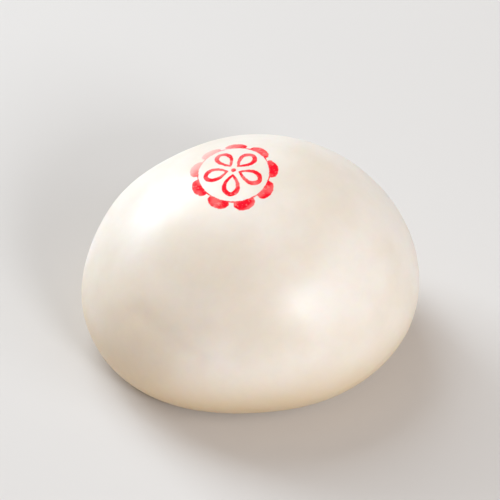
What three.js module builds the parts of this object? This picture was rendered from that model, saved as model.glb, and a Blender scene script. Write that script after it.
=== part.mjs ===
// A steamed bun: one plump, uncut piece of plain white dough, with a smooth domed top and the
// flat base on which it was steamed. Millimetres, +Z up, the front towards -Y. The origin is in
// the middle of the bun's outline, on the surface that the base rests on.

import * as THREE from 'three';
import { mergeVertices } from 'three/addons/utils/BufferGeometryUtils.js';

// The risen dough, measured from the belly line, where the bun is widest.
const WIDTH = 85;
const DEPTH = 83.3;
const CROWN_RISE = 37.5;      // up to the crown
const BELLY_DROP = 21;        // down to where the belly would close if the bun had no base
const BASE_DROP = 16;         // down to the base, which cuts the belly off
const BASE_EDGE = 4;          // height of the soft edge between the belly and the base

// How unevenly it rose.
const CROWN_LEAN = 0.079;     // millimetres that the crown drifts to +X for each one of height
const DOUGH_TILT = 0.038;     // radians that the belly line dips on the -X side
const FRONT_DENT = 0.085;     // share of the radius missing low on the front, where buns touched
const DENT_TIGHTNESS = 6;     // the larger this is, the narrower the flattened place

// The facets of the solid.
const SIDES = 72;
const ROWS = 38;
const LAST_ROW = THREE.MathUtils.degToRad(155);   // the row that lies wholly on the base

const SKIN_COLOUR = 0xf1e8da;
const SKIN_ROUGHNESS = 0.45;

// Radius and height of the round dough at an angle counted from the crown downwards.
function doughProfile(angle) {
  const evenRise = (CROWN_RISE + BELLY_DROP) / 2;
  const domeShare = (CROWN_RISE - BELLY_DROP) / 4;
  const height = evenRise * Math.cos(angle) + domeShare * (1 + Math.cos(2 * angle));
  return new THREE.Vector2(WIDTH / 2 * Math.sin(angle), height);
}

// The round dough turned about its axis, as one closed body with the axis along Z.
function roundDough() {
  const profile = [];
  for (let row = 0; row <= ROWS; row += 1) {
    profile.push(doughProfile(LAST_ROW * row / ROWS));
  }
  profile[0].x = 0;
  profile.push(new THREE.Vector2(0, profile[ROWS].y));
  const turned = new THREE.LatheGeometry(profile.reverse(), SIDES);
  turned.rotateX(Math.PI / 2);
  turned.deleteAttribute('normal');
  turned.deleteAttribute('uv');
  return withoutSlivers(mergeVertices(turned));
}

// The turned body without the triangles that its two ends squeeze to a line.
function withoutSlivers(geometry) {
  const corners = geometry.index.array;
  const kept = [];
  for (let i = 0; i < corners.length; i += 3) {
    const [a, b, c] = corners.slice(i, i + 3);
    if (a !== b && b !== c && c !== a) {
      kept.push(a, b, c);
    }
  }
  geometry.setIndex(kept);
  return geometry;
}

// How much of the radius is left at a point of the round dough.
function dentedShare(point) {
  const radius = Math.hypot(point.x, point.y);
  if (radius === 0) {
    return 1;
  }
  const towardsFront = -point.y / radius;
  const facingFront = Math.exp(DENT_TIGHTNESS * (towardsFront - 1));
  const belowCrown = (1 - point.z / CROWN_RISE) / 2;
  return 1 - FRONT_DENT * facingFront * belowCrown;
}

// Height above the base for a height over its plane: none below it, with a soft edge between.
function restedHeight(height) {
  const halfEdge = BASE_EDGE / 2;
  if (height <= -halfEdge) {
    return 0;
  }
  if (height >= halfEdge) {
    return height;
  }
  return (height + halfEdge) ** 2 / (2 * BASE_EDGE);
}

// Moves a point of the round dough to its place in the dented, leaning and resting bun.
function settle(point) {
  const share = dentedShare(point);
  const x = point.x * share + CROWN_LEAN * point.z;
  const y = point.y * share * DEPTH / WIDTH;
  const dipped = new THREE.Vector2(x, point.z).rotateAround(new THREE.Vector2(), DOUGH_TILT);
  return new THREE.Vector3(dipped.x, y, restedHeight(dipped.y + BASE_DROP));
}

// The bun's skin as one closed body, with its outline centred on the origin.
function bunGeometry() {
  const geometry = roundDough();
  const positions = geometry.getAttribute('position');
  const point = new THREE.Vector3();
  for (let i = 0; i < positions.count; i += 1) {
    point.fromBufferAttribute(positions, i);
    positions.setXYZ(i, ...settle(point));
  }
  geometry.computeBoundingBox();
  const middle = geometry.boundingBox.getCenter(new THREE.Vector3());
  geometry.translate(-middle.x, -middle.y, 0);
  geometry.computeVertexNormals();
  return geometry;
}

function steamedSkin() {
  return new THREE.MeshStandardMaterial({
    color: SKIN_COLOUR,
    roughness: SKIN_ROUGHNESS,
    metalness: 0,
  });
}

const bun = new THREE.Mesh(bunGeometry(), steamedSkin());
bun.name = 'bun';

const steamedBun = new THREE.Group();
steamedBun.add(bun);

export default steamedBun;
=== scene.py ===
"""One steamed bun of plain white wheat dough, with a red flower stamp pressed on its crown.

Lengths are in metres, +Z is up and the front is towards -Y. The bun rests on z = 0.
"""

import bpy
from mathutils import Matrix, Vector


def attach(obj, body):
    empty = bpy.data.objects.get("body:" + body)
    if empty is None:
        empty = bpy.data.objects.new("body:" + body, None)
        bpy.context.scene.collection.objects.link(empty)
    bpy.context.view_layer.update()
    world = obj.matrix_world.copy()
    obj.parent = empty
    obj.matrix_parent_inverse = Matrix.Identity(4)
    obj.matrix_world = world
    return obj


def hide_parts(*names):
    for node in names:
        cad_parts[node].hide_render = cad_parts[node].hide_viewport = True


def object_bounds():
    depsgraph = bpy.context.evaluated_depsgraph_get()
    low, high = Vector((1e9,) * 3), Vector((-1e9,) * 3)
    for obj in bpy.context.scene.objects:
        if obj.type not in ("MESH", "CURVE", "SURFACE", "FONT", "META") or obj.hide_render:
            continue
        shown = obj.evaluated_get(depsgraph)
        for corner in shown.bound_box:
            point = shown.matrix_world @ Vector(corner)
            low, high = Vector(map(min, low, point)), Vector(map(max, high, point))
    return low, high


bl_info = {
    "name": "Steamed Bun",
    "version": (1, 0, 0),
    "blender": (4, 5, 0),
    "location": "View3D > Sidebar > Steamed Bun",
    "description": "Models a steamed bun with a red flower stamp and sets up a soft studio around it",
    "category": "Add Mesh",
}

import math

import bmesh
import bpy
from bpy.props import FloatProperty, FloatVectorProperty, IntProperty, PointerProperty
from bpy.types import Operator, Panel, PropertyGroup
from mathutils import Matrix, Vector, noise
from mathutils.geometry import intersect_point_line

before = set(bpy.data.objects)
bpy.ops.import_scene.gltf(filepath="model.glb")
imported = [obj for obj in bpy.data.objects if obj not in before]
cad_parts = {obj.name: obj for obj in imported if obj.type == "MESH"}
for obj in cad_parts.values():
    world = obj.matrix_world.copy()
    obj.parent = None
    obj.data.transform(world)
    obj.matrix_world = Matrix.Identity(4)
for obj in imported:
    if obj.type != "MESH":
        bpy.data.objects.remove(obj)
CAD_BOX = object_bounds()

BUN_NODE = "bun"
MM = 0.001


def linear(hex_colour):
    """Turns an sRGB colour such as #F1E8DA into linear red, green, blue and alpha."""
    shares = [int(hex_colour[i:i + 2], 16) / 255 for i in (1, 3, 5)]
    return (*[s / 12.92 if s <= 0.04045 else ((s + 0.055) / 1.055) ** 2.4 for s in shares], 1.0)


def length(name, description, default):
    """A length in metres that a user can change."""
    return FloatProperty(name=name, description=description, default=default, min=0, unit="LENGTH",
                         subtype="DISTANCE", precision=5)


def angle(name, description, degrees):
    """An angle that a user can change, given in degrees and kept in radians."""
    return FloatProperty(name=name, description=description, default=math.radians(degrees),
                         subtype="ANGLE")


def share(name, description, default):
    """A share from 0 to 1 that a user can change."""
    return FloatProperty(name=name, description=description, default=default, min=0, max=1,
                         subtype="FACTOR")


def colour(name, description, hex_colour):
    """A colour that a user can change, given in sRGB."""
    return FloatVectorProperty(name=name, description=description, default=linear(hex_colour),
                               size=4, min=0, max=1, subtype="COLOR")


# ---------------------------------------------------------------- sizes and colours

class DoughShape(PropertyGroup):
    """The form of the risen dough, measured from the belly line, where the bun is widest."""

    width: length("Width", "Width of the dough at the belly", 85 * MM)
    depth: length("Depth", "Depth of the dough from front to back, before the front is dented", 83.3 * MM)
    crown_rise: length("Crown Rise", "From the belly line up to the crown", 37.5 * MM)
    belly_drop: length("Belly Drop", "From the belly line down to where the dough would close", 21 * MM)
    base_drop: length("Base Drop", "From the belly line down to the flat base", 16 * MM)
    base_edge: length("Base Edge", "Height of the soft edge between the belly and the base", 4 * MM)
    crown_lean: FloatProperty(
        name="Crown Lean", description="Drift of the crown to +X for each metre of height", default=0.079)
    tilt: FloatProperty(
        name="Dough Tilt", description="How far the belly line dips on the -X side", default=0.038,
        subtype="ANGLE")
    front_dent: share("Front Dent", "Share of the radius missing low on the front", 0.085)
    dent_tightness: FloatProperty(
        name="Dent Tightness", description="The larger this is, the narrower the dent", default=6)
    wave_height: length("Wave Height", "How far the skin rises and sinks in broad waves", 0.3 * MM)
    wave_size: length("Wave Size", "Width of the broad waves", 26 * MM)
    dimple_depth: length("Dimple Depth", "Depth of the small soft dimples in the skin", 0.045 * MM)
    dimple_size: length("Dimple Size", "Width of the small soft dimples", 5 * MM)
    shoulder_swell: length("Shoulder Swell", "How far the back left shoulder rose past the rest", 1.1 * MM)
    shoulder_tightness: FloatProperty(
        name="Shoulder Tightness", description="The larger this is, the narrower that shoulder",
        default=19)
    fold_depth: length("Fold Depth", "Depth of the faint fold low on the left of the front", 0.5 * MM)
    fold_reach: length("Fold Reach", "How far the fold reaches to each side", 3.0 * MM)
    hollow: length("Base Hollow", "How far the middle of the base lifts off the table", 0.5 * MM)
    pit_size: length("Pit Size", "Width of the pits that steam and paper leave in the base", 2.6 * MM)
    cuts: IntProperty(
        name="Cuts", description="Cuts along each edge of the cube that the skin is made from",
        default=95, min=8, max=120)


class SkinFinish(PropertyGroup):
    """Colours and grain of the steamed skin."""

    skin: colour("Skin", "Creamy white of the steamed dough", "#F1E7DB")
    cloud: colour("Cloud", "Slightly deeper tone in soft clouds over the skin", "#EADECE")
    # darker, warmer tone low on the belly: partly the dough's own tone, partly painted warm shade; also
    # the colour of the painted warm shade on the left of the front
    low: colour("Low Skin", "Warmer tone of the skin low on the belly", "#E2CAA6")
    base: colour("Base", "Duller tone of the flat base", "#DFCBA9")
    cloud_size: length("Cloud Size", "Width of the clouds in the tone", 22 * MM)
    fleck_size: length("Fleck Size", "Width of the fine mottling", 2.4 * MM)
    # heights of the ramp into that low tone, which is partly painted shade
    low_tone_and_shade_from: length("Low Tone From", "Height at which the skin starts to turn warmer", 24 * MM)
    low_tone_and_shade_to: length("Low Tone To", "Height at which the skin is wholly in the warmer tone", 5 * MM)
    # painted warm shade on the left of the front, where the next bun threw its shade and warm bounce light
    painted_warm_shade: share("Touched Tone", "Share of the warmer tone where the next bun touched", 0.3)
    warm_shade_reach: length("Touch Reach", "How far that tone reaches from the touched place", 20 * MM)
    peel_size: length("Peel Size", "Width of the fine waves of the skin's satin surface", 1.4 * MM)
    peel_depth: length("Peel Depth", "Depth of those fine waves", 0.010 * MM)
    pore_gap: length("Pore Gap", "Distance between the tiny pores", 2.2 * MM)
    pore_radius: length("Pore Radius", "Radius of a tiny pore", 0.22 * MM)
    pore_depth: length("Pore Depth", "Depth of a tiny pore", 0.03 * MM)
    scatter_depth: length("Scatter Depth", "How far red light travels inside the dough", 5 * MM)


class FlowerStamp(PropertyGroup):
    """The red flower print: a ring of scallops round five outlined petals and a dot."""

    ink: colour("Ink", "Red food colour", "#FA0A26")
    centre_x: FloatProperty(name="Centre X", description="Middle of the print", default=-4.0 * MM,
                            unit="LENGTH", precision=5)
    centre_y: FloatProperty(name="Centre Y", description="Middle of the print", default=-1.3 * MM,
                            unit="LENGTH", precision=5)
    stretch: FloatProperty(
        name="Stretch", description="How many times longer than wide the print is", default=1.265)
    turn: angle("Turn", "From the front-to-back line to the line along which it is longer", 17.6)
    radius: length("Radius", "Out to the tips of the scallops", 10.67 * MM)
    ring_radius: length("Ring Radius", "Radius of the thin ring inside the scallops", 8.6 * MM)
    ring_line: length("Ring Line", "Width of the ring's line", 0.32 * MM)
    scallop_width: length("Scallop Width", "Width of one scallop", 5.24 * MM)
    petal_tip: length("Petal Tip", "From the middle to where a petal starts", 1.0 * MM)
    petal_end: length("Petal End", "From the middle to where a petal ends", 7.35 * MM)
    petal_width: length("Petal Width", "Width of one petal", 4.3 * MM)
    petal_line: length("Petal Line", "Width of a petal's outline", 1.05 * MM)
    dot_radius: length("Dot Radius", "Radius of the dot in the middle", 0.6 * MM)
    ragged: length("Ragged Edge", "How far the print's edge wanders", 0.22 * MM)
    soft_edge: length("Soft Edge", "Half the width over which the ink fades out", 0.1 * MM)


class StudioStage(PropertyGroup):
    """Camera, lights and floor."""

    elevation: angle("Camera Elevation", "How far the camera looks down", 39)
    distance: length("Camera Distance", "From the camera to the middle of the bun", 750 * MM)
    view_width: length("View Width", "Width of the view at the middle of the bun", 125 * MM)
    floor: colour("Floor", "Pale paper", "#D9D3CD")
    backdrop: share("Backdrop", "Brightness of the plain backdrop", 0.8)
    surround: share("Surround", "Brightness of the light that comes from all round", 0.3)
    low_key: FloatProperty(name="Low Key", description="Power of the low softbox behind on the left",
                           default=14.8, unit="POWER")
    high_key: FloatProperty(name="High Key", description="Power of the high softbox behind the bun",
                            default=7.5, unit="POWER")
    fill: FloatProperty(name="Fill Light", description="Power of the small softbox at the front right",
                        default=8.2, unit="POWER")
    side: FloatProperty(name="Side Light", description="Power of the wide softbox on the right",
                        default=4.9, unit="POWER")
    room: colour("Room Colour", "Warm tint of the light that comes from all round", "#FFE6CE")
    daylight: colour("Daylight Colour", "Cool tint of the softboxes behind", "#E3F2FF")
    fill_light: colour("Fill Colour", "Slightly cool tint of the softboxes in front", "#EAF4FF")


# ---------------------------------------------------------------- the form of the dough

BAKE_MAP = "OFBake"
BASE_SPLIT = math.radians(138)      # angle from the crown at which the map of the base starts
CROWN_MAP = (0.5, 0.5, 0.48)        # middle and radius of the map of the dome
BASE_MAP = (0.91, 0.91, 0.083)      # middle and radius of the map of the base
CROWN_ROOM = 0.8                    # under 1, the map gives the crown more room than the belly
WAVE_SEED = Vector((3.1, 7.7, 1.9))
DIMPLE_SEED = Vector((11.3, 2.2, 5.8))
PIT_SEED = Vector((0.7, 4.1, 9.6))
PIT_SHARE = 0.5                     # how deep the pits are, as a share of the base's hollow
SHOULDER = (-118, 33)               # its bearing from the front and its elevation, in degrees
FOLD = ((-46, 24), (-31, 21.5), (-20, 16))    # the same, for each place that it runs through


def seen_from(bearing, elevation):
    """The direction from the middle towards a bearing from the front and an elevation, in radians."""
    level = math.cos(elevation)
    return Vector((math.sin(bearing) * level, -math.cos(bearing) * level, math.sin(elevation)))


def towards(place):
    """The same for a place whose bearing and elevation are given in degrees."""
    return seen_from(*[math.radians(turn) for turn in place])


def unit_ball(bm, cuts):
    """A ball of even, nearly square faces: a cut-up cube that is blown up to a radius of 1."""
    bmesh.ops.create_cube(bm, size=2)
    bmesh.ops.subdivide_edges(bm, edges=bm.edges, cuts=cuts, use_grid_fill=True)
    for vertex in bm.verts:
        vertex.co = Vector([math.tan(c * math.pi / 4) for c in vertex.co]).normalized()


def map_ball(bm):
    """Unrolls the ball from its crown into one large disc, and its base into a small one."""
    layer = bm.loops.layers.uv.new(BAKE_MAP)
    for face in bm.faces:
        on_base = face.calc_center_median().z < math.cos(BASE_SPLIT)
        middle_u, middle_v, radius = BASE_MAP if on_base else CROWN_MAP
        for loop in face.loops:
            direction = loop.vert.co
            from_crown = math.acos(max(-1, min(1, direction.z)))
            if on_base:
                out = radius * (math.pi - from_crown) / (math.pi - BASE_SPLIT)
            else:
                out = radius * (from_crown / BASE_SPLIT) ** CROWN_ROOM
            bearing = math.atan2(direction.y, direction.x)
            loop[layer].uv = (middle_u + out * math.cos(bearing), middle_v + out * math.sin(bearing))


def risen(direction, dough):
    """The point of the round, risen dough that lies in a direction of the unit ball."""
    even_rise = (dough.crown_rise + dough.belly_drop) / 2
    dome_rise = (dough.crown_rise - dough.belly_drop) / 2
    height = direction.z * (even_rise + dome_rise * direction.z)
    return Vector((direction.x * dough.width / 2, direction.y * dough.width / 2, height))


def dented_share(point, dough):
    """How much of the radius is left at a point of the round dough."""
    radius = math.hypot(point.x, point.y)
    if radius == 0:
        return 1
    facing_front = math.exp(dough.dent_tightness * (-point.y / radius - 1))
    below_crown = (1 - point.z / dough.crown_rise) / 2
    return 1 - dough.front_dent * facing_front * below_crown


def fold_line(dough):
    """The places on the round dough through which the fold runs."""
    return [risen(towards(place), dough) for place in FOLD]


def off_line(point, places):
    """How far a point is from the line that runs through some places."""
    gaps = []
    for start, end in zip(places, places[1:]):
        way = intersect_point_line(point, start, end)[1]
        gaps.append((point - start.lerp(end, max(0, min(1, way)))).length)
    return min(gaps)


def shouldered(direction, dough):
    """How far the dough stands proud on the shoulder, where it rose the most."""
    off_shoulder = direction.dot(towards(SHOULDER)) - 1
    return dough.shoulder_swell * math.exp(dough.shoulder_tightness * off_shoulder)


def unevenness(point, dough, fold):
    """How far the skin stands proud at a point: broad waves, small dimples and the soft fold."""
    wave = noise.noise(point / dough.wave_size + WAVE_SEED)
    dimple = noise.noise(point / dough.dimple_size + DIMPLE_SEED)
    fold_share = math.exp(-(off_line(point, fold) / dough.fold_reach) ** 2)
    return dough.wave_height * wave + dough.dimple_depth * dimple - dough.fold_depth * fold_share


def rested_height(height, point, dough):
    """Height above the table for a height over the plane of the base, with a soft edge between."""
    half_edge = dough.base_edge / 2
    if height >= half_edge:
        return height
    if height > -half_edge:
        return (height + half_edge) ** 2 / (2 * dough.base_edge)
    inward = min(1, (-height - half_edge) / half_edge)
    lift = inward * inward * (3 - 2 * inward)
    pits = noise.noise(point / dough.pit_size + PIT_SEED)
    return dough.hollow * lift * (1 + PIT_SHARE * pits)


def settled(direction, dough, fold):
    """The point of the finished skin that lies in a direction of the unit ball."""
    point = risen(direction, dough)
    point += direction * (unevenness(point, dough, fold) + shouldered(direction, dough))
    left = dented_share(point, dough)
    leaning = Vector((point.x * left + dough.crown_lean * point.z,
                      point.y * left * dough.depth / dough.width,
                      point.z))
    leaning.rotate(Matrix.Rotation(-dough.tilt, 3, "Y"))
    leaning.z = rested_height(leaning.z + dough.base_drop, point, dough)
    return leaning


def middle_of(bm):
    """The middle of the mesh's outline as seen from above."""
    across = [vertex.co.x for vertex in bm.verts]
    along = [vertex.co.y for vertex in bm.verts]
    return Vector(((min(across) + max(across)) / 2, (min(along) + max(along)) / 2, 0))


def bun_mesh(dough):
    """The bun's whole skin, with its outline centred on the origin."""
    bm = bmesh.new()
    unit_ball(bm, dough.cuts)
    map_ball(bm)
    fold = fold_line(dough)
    for vertex in bm.verts:
        vertex.co = settled(vertex.co, dough, fold)
    bmesh.ops.translate(bm, vec=-middle_of(bm), verts=bm.verts)
    bmesh.ops.recalc_face_normals(bm, faces=bm.faces)
    for face in bm.faces:
        face.smooth = True
    mesh = bpy.data.meshes.new("steamed_bun")
    bm.to_mesh(mesh)
    bm.free()
    return mesh


# ---------------------------------------------------------------- materials

NODES_IN_A_ROW = 10
NODE_SPACING = 190


def add_node(tree, kind, inputs=None, output=0, **settings):
    """Adds a shader node with its settings, feeds its inputs and returns one of its outputs, if any."""
    row, column = divmod(len(tree.nodes), NODES_IN_A_ROW)
    node = tree.nodes.new("ShaderNode" + kind)
    node.location = (column * NODE_SPACING, -row * NODE_SPACING)
    for name, value in settings.items():
        setattr(node, name, value)
    for socket, value in (inputs or {}).items():
        if isinstance(value, bpy.types.NodeSocket):
            tree.links.new(value, node.inputs[socket])
        else:
            node.inputs[socket].default_value = value
    return node.outputs[output] if node.outputs else None


def blank_material(name, preview):
    """A material with an empty node tree, and its colour in the solid view."""
    material = bpy.data.materials.new(name)
    material.use_nodes = True
    material.node_tree.nodes.clear()
    material.diffuse_color = preview
    return material


SCALLOPS = 9
FIRST_SCALLOP = math.radians(-15.5)
PETALS = 5
FIRST_PETAL = math.radians(25)
SCALLOP_REACH = 0.17                # how far past the ring a scallop is widest, as a share of its height
TEARDROP_TIP = 0.9                  # a low power is a blunt tip
TEARDROP_END = 0.52
TEARDROP_WIDEST = TEARDROP_TIP / (TEARDROP_TIP + TEARDROP_END)    # share of the length from the tip
TEARDROP_PEAK = TEARDROP_WIDEST ** TEARDROP_TIP * (1 - TEARDROP_WIDEST) ** TEARDROP_END
HOLE_TIP = 0.75                     # the hole in a petal starts this many line widths from the tip


def folded(tree, radius, bearing, first, count):
    """Folds a ring of like shapes onto one, and gives distances along and across that one."""
    half_step = math.pi / count
    turned = add_node(tree, "Math", {0: bearing, 1: first}, operation="SUBTRACT")
    off_axis = add_node(tree, "Math", {0: turned, 1: half_step, 2: -half_step}, operation="WRAP")
    cosine = add_node(tree, "Math", {0: off_axis}, operation="COSINE")
    sine = add_node(tree, "Math", {0: off_axis}, operation="SINE")
    side = add_node(tree, "Math", {0: sine}, operation="ABSOLUTE")
    along = add_node(tree, "Math", {0: radius, 1: cosine}, operation="MULTIPLY")
    across = add_node(tree, "Math", {0: radius, 1: side}, operation="MULTIPLY")
    return along, across


def teardrop(tree, along, across, tip, end, width, margin):
    """Depth inside a teardrop that has its point at tip, in metres; outside it, less than -margin."""
    way = add_node(tree, "MapRange", {0: along, 1: tip, 2: end})
    rest = add_node(tree, "Math", {0: 1, 1: way}, operation="SUBTRACT")
    opening = add_node(tree, "Math", {0: way, 1: TEARDROP_TIP}, operation="POWER")
    closing = add_node(tree, "Math", {0: rest, 1: TEARDROP_END}, operation="POWER")
    both = add_node(tree, "Math", {0: opening, 1: closing}, operation="MULTIPLY")
    reach = add_node(tree, "Math", {0: both, 1: (width / 2 + margin) / TEARDROP_PEAK, 2: -margin},
                     operation="MULTIPLY_ADD")
    return add_node(tree, "Math", {0: reach, 1: across}, operation="SUBTRACT")


def scallop_depth(tree, radius, bearing, stamp):
    """Depth inside the ring of filled scallops."""
    along, across = folded(tree, radius, bearing, FIRST_SCALLOP, SCALLOPS)
    height = stamp.radius - stamp.ring_radius
    middle = stamp.ring_radius + height * SCALLOP_REACH
    half_height = stamp.radius - middle
    outward = add_node(tree, "Math", {0: along, 1: middle}, operation="SUBTRACT")
    point = add_node(tree, "CombineXYZ", {0: outward, 1: across})
    squashed = add_node(tree, "VectorMath", {0: point, 1: (1, 2 * half_height / stamp.scallop_width, 0)},
                        operation="MULTIPLY")
    off_middle = add_node(tree, "VectorMath", {0: squashed}, output="Value", operation="LENGTH")
    inside = add_node(tree, "Math", {0: half_height, 1: off_middle}, operation="SUBTRACT")
    past_ring = add_node(tree, "Math", {0: radius, 1: stamp.ring_radius}, operation="SUBTRACT")
    return add_node(tree, "Math", {0: inside, 1: past_ring}, operation="MINIMUM")


def petal_depth(tree, radius, bearing, stamp):
    """Depth inside the outlines of the petals, which are teardrops with a teardrop hole."""
    along, across = folded(tree, radius, bearing, FIRST_PETAL, PETALS)
    line = stamp.petal_line
    margin = stamp.ragged + stamp.soft_edge
    whole = teardrop(tree, along, across, stamp.petal_tip, stamp.petal_end, stamp.petal_width, margin)
    hole = teardrop(tree, along, across, stamp.petal_tip + HOLE_TIP * line, stamp.petal_end - line,
                    stamp.petal_width - 2 * line, margin)
    around_hole = add_node(tree, "Math", {0: hole, 1: -1}, operation="MULTIPLY")
    return add_node(tree, "Math", {0: whole, 1: around_hole}, operation="MINIMUM")


def print_depth(tree, local, stamp):
    """Depth inside the whole print: scallops, ring line, petals and dot, whichever is deepest."""
    flat = add_node(tree, "VectorMath", {0: local, 1: (1, 1, 0)}, operation="MULTIPLY")
    radius = add_node(tree, "VectorMath", {0: flat}, output="Value", operation="LENGTH")
    parts = add_node(tree, "SeparateXYZ", {0: flat}).node.outputs
    bearing = add_node(tree, "Math", {0: parts[1], 1: parts[0]}, operation="ARCTAN2")
    off_ring = add_node(tree, "Math", {0: radius, 1: stamp.ring_radius}, operation="SUBTRACT")
    from_ring = add_node(tree, "Math", {0: off_ring}, operation="ABSOLUTE")
    depth = add_node(tree, "Math", {0: stamp.dot_radius, 1: radius}, operation="SUBTRACT")
    for shape in (
        add_node(tree, "Math", {0: stamp.ring_line / 2, 1: from_ring}, operation="SUBTRACT"),
        scallop_depth(tree, radius, bearing, stamp),
        petal_depth(tree, radius, bearing, stamp),
    ):
        depth = add_node(tree, "Math", {0: depth, 1: shape}, operation="MAXIMUM")
    return depth


CROWN_FLOOR = 30 * MM               # the print is only on what lies higher
RAG_SIZE = 1.0 * MM                 # width of the waves in its ragged edge
FADE_TOWARDS_LIGHT = (-0.42, 0.91, 0)     # the side, towards the key lights, on which the print fades: partly where the stamp was pressed least, partly painted highlight that washes the ink out
FADE_FROM = 3.5 * MM
FADE_TO = 13 * MM
FAINTEST = 0.2
PATCH_SIZE = 3.2 * MM               # patches where the stamp's face was drier
DRY_PATCH, WET_PATCH = 0.36, 0.54   # the noise levels of a dry and of a wet place
DRY_INK = 0.84
SPECK_SIZE = 0.75 * MM              # small specks of skin that took less ink
SPECK_LEVEL, SOUND_LEVEL = 0.34, 0.44    # the noise levels of a speck and of sound print
SPECK_INK = 0.85


def stamped_ink(tree, place, stamp):
    """How much ink lies on the skin, from 0 to 1: an uneven, slightly ragged hand-stamped print, fainter
    towards the key lights, partly as painted highlight that washes the ink out.
    """
    local = add_node(tree, "Mapping", {
        "Vector": place,
        "Location": (stamp.centre_x, stamp.centre_y, 0),
        "Rotation": (0, 0, stamp.turn),
        "Scale": (1, stamp.stretch, 1),
    }, vector_type="TEXTURE")
    rag = add_node(tree, "TexNoise", {"Vector": place, "Scale": 1 / RAG_SIZE, "Detail": 2})
    wander = add_node(tree, "MapRange", {0: rag, 1: 0, 2: 1, 3: -stamp.ragged, 4: stamp.ragged})
    depth = add_node(tree, "Math", {0: print_depth(tree, local, stamp), 1: wander}, operation="ADD")
    solid = add_node(tree, "MapRange", {0: depth, 1: -stamp.soft_edge, 2: stamp.soft_edge},
                     interpolation_type="SMOOTHSTEP")
    height = add_node(tree, "SeparateXYZ", {0: place}, output=2)
    on_crown = add_node(tree, "Math", {0: height, 1: CROWN_FLOOR}, operation="GREATER_THAN")
    # fainter towards the key lights: partly less ink pressed there, partly painted highlight that washes
    # the ink out
    fading = add_node(tree, "VectorMath", {0: local, 1: FADE_TOWARDS_LIGHT}, output="Value",
                      operation="DOT_PRODUCT")
    pressed = add_node(tree, "MapRange", {0: fading, 1: FADE_FROM, 2: FADE_TO, 3: 1, 4: FAINTEST},
                       interpolation_type="SMOOTHSTEP")
    patches = add_node(tree, "TexNoise", {"Vector": place, "Scale": 1 / PATCH_SIZE, "Detail": 1})
    wetted = add_node(tree, "MapRange", {0: patches, 1: DRY_PATCH, 2: WET_PATCH, 3: DRY_INK, 4: 1})
    specks = add_node(tree, "TexNoise", {"Vector": place, "Scale": 1 / SPECK_SIZE, "Detail": 2,
                                         "Roughness": 0.6})
    printed = add_node(tree, "MapRange", {0: specks, 1: SPECK_LEVEL, 2: SOUND_LEVEL, 3: SPECK_INK,
                                          4: 1}, interpolation_type="SMOOTHSTEP")
    ink = solid
    for limit in (on_crown, pressed, wetted, printed):
        ink = add_node(tree, "Math", {0: ink, 1: limit}, operation="MULTIPLY")
    return ink


WARM_SHADE_PLACE = (-28 * MM, -25 * MM, 27 * MM)     # middle of the painted warm shade, on the left of the front
CLEAR, CLOUDED = 0.38, 0.66         # the noise levels between which the clouds thicken
NOISE_LOW, NOISE_HIGH = 0.3, 0.7    # the levels between which most of a noise lies
DARK_FLECK, LIGHT_FLECK = 0.99, 1.01     # how much they change the brightness of the tone


def skin_tone(tree, place, height, finish):
    """The skin's colour: clouded cream, finely mottled, warmer low down, partly its own tone and partly
    painted shade, and with painted warm shade on the left of the front.
    """
    clouds = add_node(tree, "TexNoise", {"Vector": place, "Scale": 1 / finish.cloud_size, "Detail": 2,
                                         "Roughness": 0.45})
    clouded = add_node(tree, "MapRange", {0: clouds, 1: CLEAR, 2: CLOUDED},
                       interpolation_type="SMOOTHSTEP")
    tone = add_node(tree, "Mix", {0: clouded, 6: finish.skin, 7: finish.cloud}, output=2,
                    data_type="RGBA")
    # warmer and darker low down: partly the dough's own tone, partly painted shade
    lowered_and_shaded = add_node(tree, "MapRange", {0: height, 1: finish.low_tone_and_shade_from, 2: finish.low_tone_and_shade_to},
                       interpolation_type="SMOOTHSTEP")
    tone = add_node(tree, "Mix", {0: lowered_and_shaded, 6: tone, 7: finish.low}, output=2, data_type="RGBA")
    # painted warm shade round one place on the left of the front
    off_warm_shade = add_node(tree, "VectorMath", {0: place, 1: WARM_SHADE_PLACE}, output="Value",
                         operation="DISTANCE")
    painted_warm_shade = add_node(tree, "MapRange", {0: off_warm_shade, 1: 0, 2: finish.warm_shade_reach,
                                          3: finish.painted_warm_shade, 4: 0}, interpolation_type="SMOOTHSTEP")
    tone = add_node(tree, "Mix", {0: painted_warm_shade, 6: tone, 7: finish.low}, output=2, data_type="RGBA")
    flecks = add_node(tree, "TexNoise", {"Vector": place, "Scale": 1 / finish.fleck_size, "Detail": 3})
    mottled = add_node(tree, "MapRange", {0: flecks, 1: NOISE_LOW, 2: NOISE_HIGH,
                                          3: DARK_FLECK, 4: LIGHT_FLECK})
    return add_node(tree, "VectorMath", {0: tone, "Scale": mottled}, operation="SCALE")


BASE_TOP = 1.6 * MM                 # the skin turns into the dull base between this height
BASE_FLOOR = 0.4 * MM               # and this one
SMOOTHEST, DULLEST = 0.34, 0.42     # roughness of the satin skin
BASE_DULLNESS = 0.3                 # added to it on the base
INK_ROUGHNESS = 0.7
SKIN_SHINE, INK_SHINE = 0.5, 0.1    # specular levels
DOUGH_IOR = 1.45
SCATTERED = 0.6                     # share of the light that travels inside the dough
SCATTER_TINT = (1, 0.62, 0.38)      # how far red, green and blue travel, as shares of the depth


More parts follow.
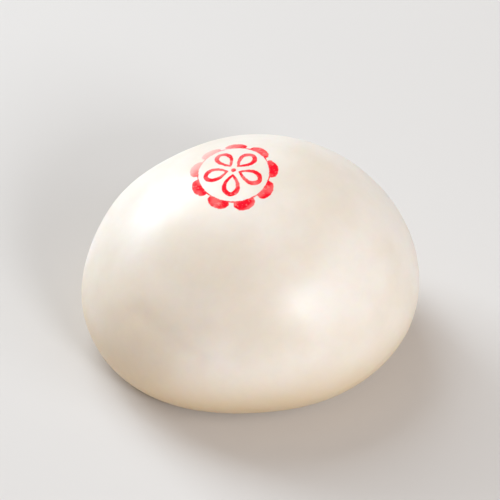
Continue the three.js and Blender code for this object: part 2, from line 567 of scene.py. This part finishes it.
def steamed_wheat_skin(finish, stamp):
    """Steamed wheat dough: a thin skin set by steam, smooth and satin, over soft translucent crumb.

    Light that enters it comes out again a few millimetres off, warmer, so its shading is soft.
    Its surface is a very fine orange peel with tiny pores, which breaks up the highlights. Both
    are drawn a little coarser than in real dough, so that they show.
    The base, which stood on paper, has lost its satin skin and is duller and pitted.
    """
    material = blank_material("steamed_wheat_skin", finish.skin)
    tree = material.node_tree
    place = add_node(tree, "TexCoord", output="Object")
    height = add_node(tree, "SeparateXYZ", {0: place}, output=2)
    ink = stamped_ink(tree, place, stamp)

    on_base = add_node(tree, "MapRange", {0: height, 1: BASE_TOP, 2: BASE_FLOOR},
                       interpolation_type="SMOOTHSTEP")
    tone = skin_tone(tree, place, height, finish)
    tone = add_node(tree, "Mix", {0: on_base, 6: tone, 7: finish.base}, output=2, data_type="RGBA")
    tone = add_node(tree, "Mix", {0: ink, 6: tone, 7: stamp.ink}, output=2, data_type="RGBA")

    peel = add_node(tree, "TexNoise", {"Vector": place, "Scale": 1 / finish.peel_size, "Detail": 2,
                                       "Roughness": 0.4})
    pores = add_node(tree, "TexVoronoi", {"Vector": place, "Scale": 1 / finish.pore_gap,
                                          "Randomness": 1})
    pore_floor = add_node(tree, "MapRange", {0: pores, 1: 0, 2: finish.pore_radius / finish.pore_gap},
                          interpolation_type="SMOOTHSTEP")
    waved = add_node(tree, "Bump", {"Height": peel, "Distance": finish.peel_depth, "Strength": 1})
    surface = add_node(tree, "Bump", {"Height": pore_floor, "Distance": finish.pore_depth,
                                      "Strength": 1, "Normal": waved})

    satin = add_node(tree, "MapRange", {0: peel, 1: NOISE_LOW, 2: NOISE_HIGH,
                                        3: SMOOTHEST, 4: DULLEST})
    dulled = add_node(tree, "MapRange", {0: on_base, 3: 0, 4: BASE_DULLNESS})
    skin_roughness = add_node(tree, "Math", {0: satin, 1: dulled}, operation="ADD")
    roughness = add_node(tree, "Mix", {0: ink, 2: skin_roughness, 3: INK_ROUGHNESS}, data_type="FLOAT")
    shine = add_node(tree, "MapRange", {0: ink, 3: SKIN_SHINE, 4: INK_SHINE})

    shader = add_node(tree, "BsdfPrincipled", {
        "Base Color": tone,
        "Roughness": roughness,
        "Specular IOR Level": shine,
        "Normal": surface,
        "IOR": DOUGH_IOR,
        "Subsurface Weight": SCATTERED,
        "Subsurface Radius": SCATTER_TINT,
        "Subsurface Scale": finish.scatter_depth,
    })
    add_node(tree, "OutputMaterial", {"Surface": shader})
    return material


FLOOR_RADIUS = 2600 * MM
BACKDROP_FROM = 350 * MM            # from the bun, where the paper starts to turn into the backdrop
BACKDROP_TO = 1300 * MM


def studio_paper(stage):
    """Seamless paper: matt and even, and lost in the backdrop where it runs out of the light."""
    material = blank_material("seamless_studio_paper", stage.floor)
    tree = material.node_tree
    place = add_node(tree, "TexCoord", output="Object")
    away = add_node(tree, "VectorMath", {0: place}, output="Value", operation="LENGTH")
    faded = add_node(tree, "MapRange", {0: away, 1: BACKDROP_FROM, 2: BACKDROP_TO},
                     interpolation_type="SMOOTHSTEP")
    paper = add_node(tree, "BsdfDiffuse", {"Color": stage.floor})
    backdrop = add_node(tree, "Emission", {"Color": (1, 1, 1, 1), "Strength": stage.backdrop})
    shader = add_node(tree, "MixShader", {0: faded, 1: paper, 2: backdrop})
    add_node(tree, "OutputMaterial", {"Surface": shader})
    return material


# ---------------------------------------------------------------- operators

def link_piece(name, mesh, material):
    """Puts a mesh with its material in the scene, at the origin."""
    mesh.materials.append(material)
    piece = bpy.data.objects.new(name, mesh)
    bpy.context.scene.collection.objects.link(piece)
    return piece


class MESH_OT_steamed_bun_add(Operator):
    """Add the steamed bun with its stamp"""

    bl_idname = "mesh.steamed_bun_add"
    bl_label = "Steamed Bun"
    bl_options = {"REGISTER", "UNDO"}

    def execute(self, context):
        scene = context.scene
        skin = steamed_wheat_skin(scene.bun_finish, scene.bun_stamp)
        bun = link_piece("steamed_bun", bun_mesh(scene.bun_dough), skin)
        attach(bun, "root")
        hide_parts(BUN_NODE)
        return {"FINISHED"}


FLOOR_GAP = 0.05 * MM
FLOOR_SIDES = 96
LIGHT_DISTANCE = 1300 * MM
SOFTBOXES = (                       # power, colour, bearing from the front and elevation, width
    ("low_key", "daylight", (-135, 25), 700 * MM),
    ("high_key", "daylight", (-150, 55), 700 * MM),
    ("fill", "fill_light", (28, 28), 300 * MM),
    ("side", "fill_light", (55, 30), 700 * MM),
)
SENSOR_WIDTH = 36                   # millimetres


def place_facing(thing, target, direction, distance):
    """Puts a camera or a light at a distance from its target, and aims it there."""
    thing.location = target + direction * distance
    thing.rotation_mode = "QUATERNION"
    thing.rotation_quaternion = (-direction).to_track_quat("-Z", "Y")


def add_softbox(name, target, direction, size, power, tint):
    """A square softbox that faces the bun and is itself out of sight."""
    light = bpy.data.lights.new(name, "AREA")
    light.size = size
    light.energy = power
    light.color = tint[:3]
    softbox = bpy.data.objects.new(name, light)
    softbox.visible_camera = False
    bpy.context.scene.collection.objects.link(softbox)
    place_facing(softbox, target, direction, LIGHT_DISTANCE)


def add_floor(stage):
    """A wide disc of studio paper under the bun."""
    bm = bmesh.new()
    bmesh.ops.create_circle(bm, cap_ends=True, segments=FLOOR_SIDES, radius=FLOOR_RADIUS)
    bmesh.ops.translate(bm, vec=(0, 0, -FLOOR_GAP), verts=bm.verts)
    mesh = bpy.data.meshes.new("floor")
    bm.to_mesh(mesh)
    bm.free()
    link_piece("floor", mesh, studio_paper(stage))


def add_camera(stage, target):
    """A long lens that looks down on the bun from the front."""
    lens = bpy.data.cameras.new("camera")
    lens.sensor_width = SENSOR_WIDTH
    lens.lens = SENSOR_WIDTH * stage.distance / stage.view_width
    camera = bpy.data.objects.new("camera", lens)
    bpy.context.scene.collection.objects.link(camera)
    place_facing(camera, target, seen_from(0, stage.elevation), stage.distance)
    bpy.context.scene.camera = camera


def light_surround(scene, stage):
    """A dim even light from all round, behind a plain backdrop that only the camera sees."""
    world = bpy.data.worlds.new("studio_surround")
    world.use_nodes = True
    tree = world.node_tree
    tree.nodes.clear()
    seen = add_node(tree, "LightPath", output="Is Camera Ray")
    tint = add_node(tree, "Mix", {0: seen, 6: stage.room, 7: (1, 1, 1, 1)}, output=2, data_type="RGBA")
    brightness = add_node(tree, "Mix", {0: seen, 2: stage.surround, 3: stage.backdrop}, data_type="FLOAT")
    glow = add_node(tree, "Background", {"Color": tint, "Strength": brightness})
    add_node(tree, "OutputWorld", {"Surface": glow})
    scene.world = world


class SCENE_OT_steamed_bun_stage(Operator):
    """Set up the floor, the soft light and the camera round the bun"""

    bl_idname = "scene.steamed_bun_stage"
    bl_label = "Soft Studio"
    bl_options = {"REGISTER", "UNDO"}

    def execute(self, context):
        scene = context.scene
        stage = scene.bun_stage
        low, high = CAD_BOX
        target = (low + high) / 2
        add_floor(stage)
        for power, tint, place, size in SOFTBOXES:
            add_softbox(power, target, towards(place), size, getattr(stage, power),
                        getattr(stage, tint))
        add_camera(stage, target)
        light_surround(scene, stage)
        scene.view_settings.view_transform = "Standard"
        return {"FINISHED"}


class VIEW3D_PT_steamed_bun(Panel):
    """Makes the bun and its studio, and shows their sizes and colours"""

    bl_idname = "VIEW3D_PT_steamed_bun"
    bl_label = "Steamed Bun"
    bl_space_type = "VIEW_3D"
    bl_region_type = "UI"
    bl_category = "Steamed Bun"

    def draw(self, context):
        scene = context.scene
        for maker, groups in (
            (MESH_OT_steamed_bun_add, (scene.bun_dough, scene.bun_finish, scene.bun_stamp)),
            (SCENE_OT_steamed_bun_stage, (scene.bun_stage,)),
        ):
            box = self.layout.box()
            box.operator(maker.bl_idname)
            for group in groups:
                for name in group.__annotations__:
                    box.prop(group, name)


# ---------------------------------------------------------------- registration

SETTINGS = {
    "bun_dough": DoughShape,
    "bun_finish": SkinFinish,
    "bun_stamp": FlowerStamp,
    "bun_stage": StudioStage,
}
TOOLS = (MESH_OT_steamed_bun_add, SCENE_OT_steamed_bun_stage, VIEW3D_PT_steamed_bun)


def register():
    for name, group in SETTINGS.items():
        bpy.utils.register_class(group)
        setattr(bpy.types.Scene, name, PointerProperty(type=group))
    for tool in TOOLS:
        bpy.utils.register_class(tool)


def unregister():
    for tool in reversed(TOOLS):
        bpy.utils.unregister_class(tool)
    for name, group in reversed(SETTINGS.items()):
        delattr(bpy.types.Scene, name)
        bpy.utils.unregister_class(group)


def main():
    register()
    bpy.ops.mesh.steamed_bun_add()
    bpy.ops.scene.steamed_bun_stage()
    bpy.context.view_layer.update()


if __name__ == "__main__":
    main()
